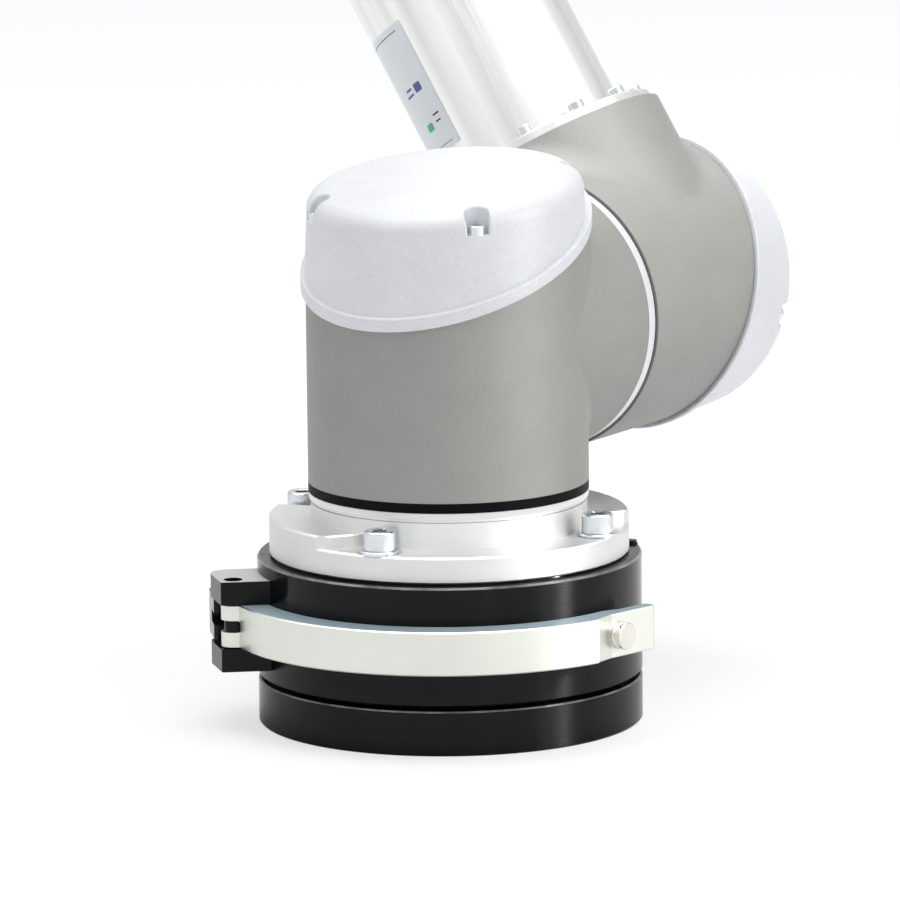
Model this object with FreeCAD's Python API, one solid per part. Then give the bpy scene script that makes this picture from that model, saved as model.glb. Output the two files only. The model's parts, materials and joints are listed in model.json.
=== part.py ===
import FreeCAD, Part
import math
import os
from FreeCAD import Placement, Rotation, Vector

# Six-axis collaborative robot arm on a quick-release base clamp.
# Millimetres.  Origin: centre of the table plate's underside.  +Z is the first joint's axis, up.
# +X is the second joint's axis at rest.  Every shape is built in the frame of its own
# joint module or of the clamp, then placed in this frame.

# ---------------------------------------------------------------- driving dimensions
CLAMP_R = 80.0            # outer radius of the clamp
PLATE_T = 18.6            # table plate, visible rim
COLLAR_Z0, COLLAR_Z1 = 20.4, 69.8
NECK_R = 65.8             # necks of the two plates, inside the collar's lips
RIM_R = 70.0              # tapered rims that the collar pulls together
TAPER = 4.0
PLATE_TOP = 38.3
ADAPTER_Z0, ADAPTER_Z1 = 38.6, 70.5
DISC_R, DISC_Z0 = 74.0, 57.3
BORE_R = 30.0             # hollow of the base flange

TABLE_BOLT_PCD, TABLE_BOLT_R = 100.0, 4.5
FLANGE_R, FLANGE_T = 74.75, 10.9
PAD_T = 5.3               # raised pads on the flange
HUB_R, HUB_TOP = 57.4, 94.0
LIP_T, GROOVE_W, GROOVE_DEPTH = 1.3, 0.4, 0.8      # hub's lip, and the groove under it
BASE_RING_R, BASE_RING_W = 58.1, 2.4
FLANGE_BOLT_PCD = 134.8
FLANGE_BOLT_ANGLES = [-173.3, -83.3, 6.7, 96.7]
PAD_SPANS = [(105.5, 164.7), (-2.1, -58.0)]        # radial end and shaped end of each pad
PAD_END = [(72.6, 3.6), (62.4, 8.3), (55.4, 8.7)]  # shaped end: radius, and turn past the span
PAD_BEVEL, PAD_END_BEVEL = 0.8, 0.75
FLANGE_SPOT_R, FLANGE_SPOT_DEPTH = 9.2, 0.4
WASHER_R, WASHER_BORE_R, WASHER_T = 8.2, 4.3, 1.6
FLANGE_HOLE_R, FLANGE_SCREW = 4.5, (6.5, 8.0, 4.0, 24.0)   # screw: head, its height, shank, length

HINGE_ANGLE, LATCH_ANGLE = -48.4, 123.4    # where the collar's two halves part
LATCH_AXIS_ANGLE = 128.3                   # direction in which the hinge block stands out
PIVOT_UV = (91.8, 15.7)                    # lever pivot, along and across that direction
TONGUE_PIN_UV = (88.0, -1.5)
BLOCK_U, BLOCK_V = 99.9, 21.7              # outer end and front face of the hinge block
TONGUE_U, TONGUE_V = 98.9, 4.5             # the rear half's tongue, between the block's ears
SLOT_U, SLOT_T = 89.6, 5.0                 # slot between the lever's tines: depth and height
BLOCK_BACK, BLOCK_ROUND = -6.5, 8.0
EYE_R, HEEL_TURN = 5.2, 12.0
LEVER_CHAMFER = 0.5
BARREL_R, BARREL_TOP, STEM_R = 5.4, 1.8, 2.5      # the plunger, from its seat outward
KNOB_R, KNOB_LOW, KNOB_TOP = 5.65, 2.1, 4.9
THREAD_R, THREAD_END = 4.0, -3.0
GRIP_LENGTH, GRIP_T, GRIP_ROUND = 27.5, 6.4, 2.6  # the lever's flared end
LEVER_Z0, LEVER_Z1 = 35.6, 54.2
EAR_T = 9.7
LEVER_R0, LEVER_R1 = 80.6, 92.0
LEVER_START, LEVER_END = 145.8, -107.0     # the arc runs clockwise between these
ECCENTRIC_E, ECCENTRIC_R = 1.0, 3.0
LINK_EYE_R, LINK_HOLE_R, LINK_FAR_R = 4.0, 3.0, 4.4
LINK_BAR_HALF, LINK_T = 2.0, 4.4
PLUNGER_R, PLUNGER_ANGLE = 88.6, -97.4     # seat of the safety plunger on the lever
DOWEL_R, DOWEL_CIRCLE_R = 4.0, 50.0        # between the two plates
DOWEL_ANGLES = [0, 120, 240]
HINGE_PIN_R, PIVOT_PIN_R, TONGUE_PIN_R = 1.5, 1.6, 1.6
HINGE_HEAD_R, HINGE_HEAD_H = 2.3, 1.3
PIVOT_HEAD_R, PIVOT_SINK = 3.7, 3.4        # the pin's head, sunk in the upper ear
KNUCKLE_R = 2.8
GAP = 0.3                                  # between curved faces of different bodies

SHOULDER_Z = 160.05       # second joint's axis
UPPER_X = 133.5           # plane of the upper arm
UPPER_LEAN = 31.6         # upper arm from the vertical, towards +Y
UPPER_LEN = 425.0
FOREARM_X = 14.0
FOREARM_LEAN = -70.0
FOREARM_LEN = 392.0
WRIST_X = 107.0
WRIST_OFFSET = 93.0       # from the second wrist joint's module to the third's

RING_W, SEAL_W = 4.8, 1.1                  # trim ring and seal at a large joint
RING_R, SEAL_R, RING_BORE_R = 58.0, 57.6, 44.0
SMALL_RING_W, SMALL_SEAL_W = 3.9, 1.1
SMALL_RING_R, SMALL_SEAL_R, SMALL_BORE_R = 39.6, 39.2, 30.0
TUBE_R, TUBE_WALL = 41.6, 4.0
TUBE_FLANGE_R, TUBE_FLANGE_T = 54.5, 4.0
FOREARM_TUBE_R, FOREARM_FLANGE_R = 31.0, 38.0

# joint modules: barrel radius, axis to the barrel's open face, axis to the branch's end,
# branch radius, axis to the cover's rim, and the fillet where branch and barrel meet
LARGE = {"radius": 58.3, "face": 59.45, "reach": 67.0, "branch_r": 58.0, "rim": 34.65, "blend": 8.0}
ARM = {"radius": 59.0, "face": 60.6, "reach": 65.25, "branch_r": 57.0, "rim": 31.5, "blend": 18.0}
MEDIUM = {"radius": 51.0, "face": 53.0, "reach": 56.0, "branch_r": 49.5, "rim": 28.0, "blend": 5.0}
SMALL = {"radius": 40.0, "face": 42.0, "reach": 46.0, "branch_r": 39.2, "rim": 22.0, "blend": 5.0}

# covers, at the size of the large module
RIM_TILT, DOME_TILT = 22.0, 7.6            # the lower rim and the crown
CROWN, CROWN_R, CROWN_FILLET = 35.8, 288.0, 8.0    # crown's height over the rim, and its sphere
COVER_DRAFT = 0.04
COVER_WALL, HOUSING_WALL = 2.8, 4.5
LIP_R = 60.4
SCREW_RING = 54.0
POCKET_R, POCKET_DEPTH, POCKET_ROUND = 5.0, 9.5, 1.0
SCREW_ANGLES = [45, 135, 225, 315]
SCREW_R, SCREW_HEAD_R = 2.0, 3.5
FAR = 60.0                # well past the top of the largest cover

TOOL_BOLT_CIRCLE_R = 25.0
TOOL_TAP_R, TOOL_DOWEL_R, TOOL_BORE_R = 2.5, 3.0, 15.75
os.makedirs("parts", exist_ok=True)

X, Y, Z = Vector(1, 0, 0), Vector(0, 1, 0), Vector(0, 0, 1)
O = Vector(0, 0, 0)
nodes = {}


# ---------------------------------------------------------------- helpers
def cylinder(radius, z0, z1, x=0.0, y=0.0):
    return Part.makeCylinder(radius, z1 - z0, Vector(x, y, z0))


def ring(outer, inner, z0, z1, x=0.0, y=0.0):
    return cylinder(outer, z0, z1, x, y).cut(cylinder(inner, z0 - 1, z1 + 1, x, y))


def lying(radius, x0, x1):
    """A cylinder along X."""
    return Part.makeCylinder(radius, x1 - x0, Vector(x0, 0, 0), X)


def box(x0, x1, y0, y1, z0, z1):
    return Part.makeBox(x1 - x0, y1 - y0, z1 - z0, Vector(x0, y0, z0))


def prism(points, z0, z1):
    wire = Part.makePolygon([Vector(x, y, z0) for x, y in points + points[:1]])
    return Part.Face(wire).extrude(Vector(0, 0, z1 - z0))


def turned(profile):
    """A solid of revolution about Z from (radius, height) points."""
    wire = Part.makePolygon([Vector(r, 0, z) for r, z in profile + profile[:1]])
    return Part.Face(wire).revolve(O, Z, 360)


def sector(start, end, reach, z0, z1):
    """A pie slice, counterclockwise from start to end, in degrees."""
    steps = 12
    turn = (end - start) % 360
    arc = [polar(reach, start + turn * i / steps) for i in range(steps + 1)]
    return prism([(0.0, 0.0)] + arc, z0, z1)


def polar(radius, degrees):
    a = math.radians(degrees)
    return radius * math.cos(a), radius * math.sin(a)


def spread(shape, radius, angles):
    """Copies of a shape made at the origin, set on a circle about Z."""
    return [shape.translated(Vector(*polar(radius, a), 0)) for a in angles]


def joined(shapes):
    whole = shapes[0].fuse(shapes[1:]) if len(shapes) > 1 else shapes[0]
    return whole.removeSplitter()


def frame(origin, z_axis, x_axis):
    """Placement that sets local Z and X along the two given directions."""
    return Placement(origin, Rotation(x_axis, z_axis.cross(x_axis), z_axis, "ZXY"))


def placed(shape, place):
    out = shape.copy()
    out.Placement = place.multiply(out.Placement)
    return out


def keep(name, shapes):
    """Writes one node, of one solid or of several separate ones."""
    shapes = shapes if isinstance(shapes, list) else [shapes]
    solids = [s for shape in shapes for s in shape.Solids]
    whole = solids[0] if len(solids) == 1 else Part.makeCompound(solids)
    whole.exportStep(f"parts/{name}.step")
    nodes[name] = whole


def edges_where(shape, test):
    return [e for e in shape.Edges if test(e)]


def is_upright(edge):
    return abs(edge.tangentAt(edge.FirstParameter).z) > 0.99


def on_circle(edge, radius, z, tolerance=0.01):
    c = edge.Curve
    return (isinstance(c, Part.Circle) and abs(c.Radius - radius) < tolerance
            and abs(c.Center.z - z) < tolerance)


def broken(shape, size, circles):
    """The shape with the named horizontal circles, (radius, z), chamfered."""
    found = edges_where(shape, lambda e: any(on_circle(e, r, z) for r, z in circles))
    return shape.makeChamfer(size, found)


def cap_screw(head_r, head_h, shank_r, length):
    """Socket head screw, the head's underside at z=0 and the shank below it."""
    socket_r = head_r * 0.55
    corners = [polar(socket_r, 60 * i) for i in range(6)]
    head = broken(cylinder(head_r, 0, head_h), head_h * 0.08, [(head_r, head_h)])
    head = head.cut(prism(corners, head_h * 0.5, head_h + 1))
    return head.fuse(cylinder(shank_r, -length, 0)).removeSplitter()


# ---------------------------------------------------------------- base clamp
def latch_place():
    """Local X stands outward along the hinge block, local Y runs along the rim."""
    return Placement(O, Rotation(Z, LATCH_AXIS_ANGLE))


def from_latch(u, v):
    p = latch_place().multVec(Vector(u, v, 0))
    return p.x, p.y


def make_plates():
    taper_z = PLATE_TOP - 7.0
    plate = turned([(0, 0), (CLAMP_R - 0.6, 0), (CLAMP_R, 0.6), (CLAMP_R, PLATE_T - 0.6),
                    (CLAMP_R - 0.6, PLATE_T), (NECK_R, PLATE_T), (NECK_R, taper_z - TAPER),
                    (RIM_R, taper_z), (RIM_R, PLATE_TOP), (0, PLATE_TOP)])
    bolt = cylinder(TABLE_BOLT_R, -1, 60).fuse(cylinder(8.0, PLATE_TOP - 9, 60))
    dowel = cylinder(DOWEL_R + 0.05, 26.0, 60)
    plate = plate.cut(spread(bolt, TABLE_BOLT_PCD / 2, [45, 135, 225, 315])
                      + spread(dowel, DOWEL_CIRCLE_R, DOWEL_ANGLES))
    keep("table_plate", plate)

    rim = ADAPTER_Z0 + 7.0
    adapter = turned([(0, ADAPTER_Z0), (RIM_R, ADAPTER_Z0), (RIM_R, rim),
                      (NECK_R, rim + TAPER), (NECK_R, DISC_Z0), (DISC_R, DISC_Z0),
                      (DISC_R, ADAPTER_Z1), (0, ADAPTER_Z1)])
    socket = cylinder(DOWEL_R + 0.05, 0, 50.5)
    tapped = cylinder(4.05, 0, 100)
    adapter = adapter.cut(spread(socket, DOWEL_CIRCLE_R, DOWEL_ANGLES)
                          + spread(tapped, FLANGE_BOLT_PCD / 2, FLANGE_BOLT_ANGLES))
    keep("adapter_plate", adapter)
    pin = broken(cylinder(DOWEL_R, 26.2, 50.2), 0.8, [(DOWEL_R, 26.2), (DOWEL_R, 50.2)])
    keep("locating_pins", spread(pin, DOWEL_CIRCLE_R, DOWEL_ANGLES))


def collar_ring():
    lip = NECK_R + 0.6
    rim = RIM_R + 0.6
    profile = [(lip, COLLAR_Z0), (CLAMP_R - 0.8, COLLAR_Z0), (CLAMP_R, COLLAR_Z0 + 0.8),
               (CLAMP_R, COLLAR_Z1 - 0.8), (CLAMP_R - 0.8, COLLAR_Z1), (DISC_R + 0.4, COLLAR_Z1),
               (DISC_R + 0.4, DISC_Z0 - 0.4), (lip, DISC_Z0 - 0.4), (lip, 50.2), (rim, 45.8),
               (rim, 31.1), (lip, 26.7)]
    return turned(profile)


def make_collar():
    whole = collar_ring()
    hinge_x, hinge_y = polar(CLAMP_R - KNUCKLE_R, HINGE_ANGLE)
    rear_slice = sector(HINGE_ANGLE + 0.2, LATCH_ANGLE - 0.2, 140, 0, 100)
    front_slice = sector(LATCH_ANGLE + 0.2, HINGE_ANGLE - 0.2, 140, 0, 100)
    hinge_space = cylinder(KNUCKLE_R + GAP, 0, 100, hinge_x, hinge_y)
    middle = (COLLAR_Z0 + 15.6, COLLAR_Z1 - 15.8)

    # hinge block: two ears with the lever and the rear half's tongue between them
    block = prism([(72, BLOCK_BACK), (BLOCK_U, BLOCK_BACK), (BLOCK_U, 2.0), (BLOCK_U - 2.5, BLOCK_V),
                   (66, BLOCK_V)], LEVER_Z0 - EAR_T + 0.2, LEVER_Z1 + EAR_T)
    uprights = edges_where(block, lambda e: is_upright(e) and e.CenterOfMass.x > 95)
    block = block.makeFillet(BLOCK_ROUND, [e for e in uprights if e.CenterOfMass.y < 0])
    block = block.makeFillet(0.8, edges_where(block, lambda e: is_upright(e)
                                              and e.CenterOfMass.x > 95 and e.CenterOfMass.y > 20))
    block = placed(block, latch_place()).cut(cylinder(74.8, 0, 100))
    front = whole.common(front_slice).cut(hinge_space).fuse(block)
    knuckles = [cylinder(KNUCKLE_R, COLLAR_Z0, middle[0] - GAP, hinge_x, hinge_y),
                cylinder(KNUCKLE_R, middle[1] + GAP, COLLAR_Z1, hinge_x, hinge_y)]
    bridge = sector(HINGE_ANGLE - 5, HINGE_ANGLE, 79.0, 0, 100).cut(cylinder(75.0, -1, 101))
    bridges = [bridge.common(cylinder(200, k[0], k[1])) for k in
               ((COLLAR_Z0, middle[0] - GAP), (middle[1] + GAP, COLLAR_Z1))]
    front = front.fuse(knuckles + bridges)
    lever_track = ring(120, CLAMP_R + 0.1, LEVER_Z0, LEVER_Z1)
    pivot = from_latch(*PIVOT_UV)
    disc_space = cylinder(DISC_R + 0.4, DISC_Z0 - 0.4, 100)
    fork_space = lever_track.common(placed(box(60, 130, -30, 60, 0, 100), latch_place()))
    front = front.cut([disc_space, fork_space,
                       cylinder(PIVOT_PIN_R + 0.05, 0, 100, *pivot),
                       cylinder(PIVOT_HEAD_R + 0.2, LEVER_Z1 + EAR_T - PIVOT_SINK, 100, *pivot),
                       cylinder(HINGE_PIN_R + 0.05, 0, 100, hinge_x, hinge_y)])
    keep("collar_front_half", front.removeSplitter())

    # rear half, with the tongue that the draw link pulls
    low, high = LEVER_Z0 + 0.4, LEVER_Z1 - 0.4
    middle_z = (low + high) / 2
    lug = prism([(72, -26), (TONGUE_U - 8, -26), (TONGUE_U, -18), (TONGUE_U, -7.2), (72, -7.2)], low, high)
    tongue = prism([(84, -12), (TONGUE_U, -12), (TONGUE_U, TONGUE_V - 1.5), (TONGUE_U - 1.5, TONGUE_V),
                    (84, TONGUE_V)], low, high)
    tongue = tongue.cut(box(70, 110, TONGUE_PIN_UV[1] - 9.2, 20,
                            middle_z - SLOT_T / 2, middle_z + SLOT_T / 2))
    grip = placed(lug.fuse(tongue), latch_place()).cut(cylinder(74.8, 0, 100))
    grip = grip.cut(sector(LATCH_ANGLE + 0.35, LATCH_ANGLE + 60, CLAMP_R + 0.9, 0, 100))
    rear = whole.common(rear_slice).cut(hinge_space).fuse(grip)
    rear = rear.fuse([cylinder(KNUCKLE_R, middle[0], middle[1], hinge_x, hinge_y),
                      sector(HINGE_ANGLE, HINGE_ANGLE + 5, 79.0, middle[0], middle[1]).cut(
                          cylinder(75.0, -1, 101))])
    tongue_pin = from_latch(*TONGUE_PIN_UV)
    rear = rear.cut([cylinder(TONGUE_PIN_R + 0.02, 0, 100, *tongue_pin),
                     cylinder(HINGE_PIN_R + 0.05, 0, 100, hinge_x, hinge_y)])
    keep("collar_rear_half", rear.removeSplitter())
    pin = broken(cylinder(TONGUE_PIN_R, low, high), 0.3, [(TONGUE_PIN_R, low), (TONGUE_PIN_R, high)])
    keep("tongue_pin", pin.translated(Vector(*tongue_pin, 0)))
    pin = cylinder(HINGE_PIN_R, COLLAR_Z0 + 0.3, COLLAR_Z1)
    pin = pin.fuse(cylinder(HINGE_HEAD_R, COLLAR_Z1, COLLAR_Z1 + HINGE_HEAD_H)).removeSplitter()
    keep("collar_hinge_pin", pin.translated(Vector(hinge_x, hinge_y, 0)))
    seat = LEVER_Z1 + EAR_T - PIVOT_SINK
    pin = cylinder(PIVOT_PIN_R, LEVER_Z0 - EAR_T + 0.4, seat)
    pin = pin.fuse(cylinder(PIVOT_HEAD_R, seat, seat + 1.8)).removeSplitter()
    keep("lever_pivot_pin", pin.translated(Vector(*pivot, 0)))


def make_lever():
    """The band round the front of the collar, its fork at the pivot and its flared grip."""
    z0, z1 = LEVER_Z0 + 0.2, LEVER_Z1 - 0.2
    pivot = from_latch(*PIVOT_UV)
    band = ring(LEVER_R1, LEVER_R0, z0, z1).common(
        sector(LEVER_START, LEVER_END, 140, 0, 100))
    front = PIVOT_UV[1] + EYE_R
    heel = prism([from_latch(PIVOT_UV[0], front), from_latch(SLOT_U + 0.4, front),
                  polar(LEVER_R1, LEVER_START - 0.1), polar(LEVER_R1, LEVER_START + HEEL_TURN),
                  polar(LEVER_R0, LEVER_START + HEEL_TURN), polar(LEVER_R0, LATCH_AXIS_ANGLE + 10),
                  from_latch(PIVOT_UV[0], PIVOT_UV[1] - EYE_R)], z0, z1)
    eye = cylinder(EYE_R, z0, z1, *pivot)
    # the grip leaves the band along its tangent, a little thinner than the band
    start = Vector(*polar(LEVER_R1 - 3.2, LEVER_END + 6.6), 0)
    along = Vector(*polar(1.0, LEVER_END + 6.6 + 88), 0)
    inward = Vector(*polar(-1.0, LEVER_END + 6.6 - 2), 0)
    tip = start + along * GRIP_LENGTH
    tip_in, root_in = tip + inward * GRIP_T, start + inward * GRIP_T + along * 9
    grip = prism([polar(LEVER_R1, LEVER_END - 1.5), start[:2], tip[:2], tip_in[:2], root_in[:2],
                  polar(LEVER_R0, LEVER_END + 9), polar(LEVER_R0, LEVER_END - 1.5)], z0, z1)
    rounds = edges_where(grip, lambda e: is_upright(e) and min(
        math.dist(e.CenterOfMass[:2], tip[:2]), math.dist(e.CenterOfMass[:2], tip_in[:2])) < 0.1)
    grip = grip.makeFillet(GRIP_ROUND, rounds)
    lever = joined([band, heel, eye, grip]).cut(cylinder(LEVER_R0 - 0.01, 0, 100))
    lever = lever.removeSplitter()
    lever = lever.makeChamfer(LEVER_CHAMFER, edges_where(lever, lambda e: is_lever_rim(e, z0, z1)))

    # slot between the fork's tines for the draw link, which turns on the eccentric
    centre = from_latch(PIVOT_UV[0], PIVOT_UV[1] + ECCENTRIC_E)
    mid = (z0 + z1) / 2
    low, high = mid - SLOT_T / 2, mid + SLOT_T / 2
    slot = cylinder(LINK_EYE_R + GAP, low, high, *centre)
    open_side = box(SLOT_U, 130, -10, 60, low, high)
    corners = edges_where(open_side, lambda e: abs(e.CenterOfMass.x - SLOT_U) < 0.01
                          and abs(e.CenterOfMass.y - 25) < 0.01)
    open_side = placed(open_side.makeFillet(1.2, corners), latch_place())
    back = placed(box(80, 130, -10, PIVOT_UV[1] + 0.5, low, high), latch_place())
    lever = lever.cut([slot, open_side, back, cylinder(PIVOT_PIN_R + 0.05, 0, 100, *pivot)])
    plunger = plunger_place()
    bore = placed(cylinder(STEM_R + 0.06, -20, 20), plunger)
    thread = placed(cylinder(THREAD_R, THREAD_END, 0.02), plunger)
    spot_face = placed(cylinder(BARREL_R + 0.2, 0.0, 30), plunger)
    lever = lever.cut([bore, thread, spot_face])
    keep("clamp_lever", lever.removeSplitter())

    disc = cylinder(ECCENTRIC_R, low, high, *centre)
    disc = disc.cut(cylinder(PIVOT_PIN_R + 0.05, 0, 100, *pivot))
    keep("lever_eccentric", disc)
    far = from_latch(*TONGUE_PIN_UV)
    low, high = mid - LINK_T / 2, mid + LINK_T / 2
    bar_dir = Vector(far[0] - centre[0], far[1] - centre[1], 0)
    cross = Vector(-bar_dir.y, bar_dir.x, 0).normalize() * LINK_BAR_HALF
    bar = prism([(centre[0] + cross.x, centre[1] + cross.y), (far[0] + cross.x, far[1] + cross.y),
                 (far[0] - cross.x, far[1] - cross.y),
                 (centre[0] - cross.x, centre[1] - cross.y)], low, high)
    link = bar.fuse([cylinder(LINK_EYE_R, low, high, *centre), cylinder(LINK_FAR_R, low, high, *far)])
    link = link.cut([cylinder(ECCENTRIC_R + 0.06, 0, 100, *centre), cylinder(LINK_HOLE_R, 0, 100, *far)])
    keep("draw_link", link.removeSplitter())

    barrel = ring(BARREL_R, STEM_R + 0.06, 0.02, BARREL_TOP)
    barrel = barrel.fuse(ring(THREAD_R - 0.02, STEM_R + 0.06, THREAD_END + 0.02, 0.02))
    barrel = broken(barrel.removeSplitter(), 0.4, [(BARREL_R, BARREL_TOP)])
    keep("plunger_barrel", placed(barrel, plunger))
    knob = cylinder(KNOB_R, KNOB_LOW, KNOB_TOP)
    knob = knob.makeFillet(0.6, edges_where(knob, lambda e: on_circle(e, KNOB_R, KNOB_TOP)
                                            or on_circle(e, KNOB_R, KNOB_LOW)))
    knob = knob.fuse(cylinder(STEM_R, CLAMP_R - PLUNGER_R + 0.4, KNOB_LOW + 1))
    keep("plunger_knob", placed(knob.removeSplitter(), plunger))


def is_lever_rim(edge, z0, z1):
    """Edges of the lever's two flat sides, apart from the inner arc and the faces beside it."""
    low, high = edge.BoundBox.ZMin, edge.BoundBox.ZMax
    if high - low > 0.01 or min(abs(low - z0), abs(low - z1)) > 0.01:
        return False
    return max(math.hypot(v.X, v.Y) for v in edge.Vertexes) > LEVER_R0 + 4.0


def plunger_place():
    """Local Z points outward through the lever, from its seat near the band's outer face."""
    centre = Vector(*polar(PLUNGER_R, PLUNGER_ANGLE), (LEVER_Z0 + LEVER_Z1) / 2)
    out = Vector(*polar(1.0, PLUNGER_ANGLE), 0)
    return frame(centre, out, Z)


def make_flange():
    top = ADAPTER_Z1 + FLANGE_T
    groove = HUB_TOP - LIP_T
    flange = turned([(BORE_R, ADAPTER_Z1), (FLANGE_R - 0.6, ADAPTER_Z1), (FLANGE_R, ADAPTER_Z1 + 0.6),
                     (FLANGE_R, top - 0.8), (FLANGE_R - 0.8, top), (HUB_R, top),
                     (HUB_R, groove - GROOVE_W), (HUB_R - GROOVE_DEPTH, groove - GROOVE_W),
                     (HUB_R - GROOVE_DEPTH, groove), (HUB_R, groove), (HUB_R, HUB_TOP),
                     (BORE_R, HUB_TOP)])
    flange = joined([flange] + [make_pad(top, *span) for span in PAD_SPANS])
    seat = top - FLANGE_SPOT_DEPTH
    hole = cylinder(FLANGE_HOLE_R, 0, 200).fuse(cylinder(FLANGE_SPOT_R, seat, 110))
    flange = flange.cut(spread(hole, FLANGE_BOLT_PCD / 2, FLANGE_BOLT_ANGLES))
    keep("base_flange", flange)
    washer = broken(ring(WASHER_R, WASHER_BORE_R, seat, seat + WASHER_T), 0.25,
                    [(WASHER_R, seat + WASHER_T)])
    keep("flange_washers", spread(washer, FLANGE_BOLT_PCD / 2, FLANGE_BOLT_ANGLES))
    screw = cap_screw(*FLANGE_SCREW).translated(Vector(0, 0, seat + WASHER_T))
    keep("flange_screws", spread(screw, FLANGE_BOLT_PCD / 2, FLANGE_BOLT_ANGLES))
    keep("base_trim_ring", ring(BASE_RING_R, 40.0, HUB_TOP, HUB_TOP + BASE_RING_W))


def make_pad(floor, radial_end, shaped_end):
    """A raised pad between two screws: one end cut square, the other shaped and bevelled."""
    top = floor + PAD_T
    rise = turned([(HUB_R - 1, floor - 1), (FLANGE_R, floor - 1), (FLANGE_R, top - PAD_BEVEL),
                   (FLANGE_R - PAD_BEVEL, top), (HUB_R - 1, top)])
    turn = shaped_end - radial_end
    way = math.copysign(1, turn)
    steps = 8
    outline = [polar(PAD_END[-1][0], radial_end)]
    outline += [polar(FLANGE_R + 15, radial_end + turn * i / steps) for i in range(steps + 1)]
    outline += [polar(FLANGE_R, shaped_end)]
    outline += [polar(r, shaped_end + way * further) for r, further in PAD_END]
    if way < 0:
        outline.reverse()
    pad = rise.common(prism(outline, 0, 100))
    straight = edges_where(pad, lambda e: isinstance(e.Curve, Part.Line) and e.Length > 6
                           and e.BoundBox.ZMin > top - 0.01)
    return pad.makeChamfer(PAD_END_BEVEL, straight)


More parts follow.
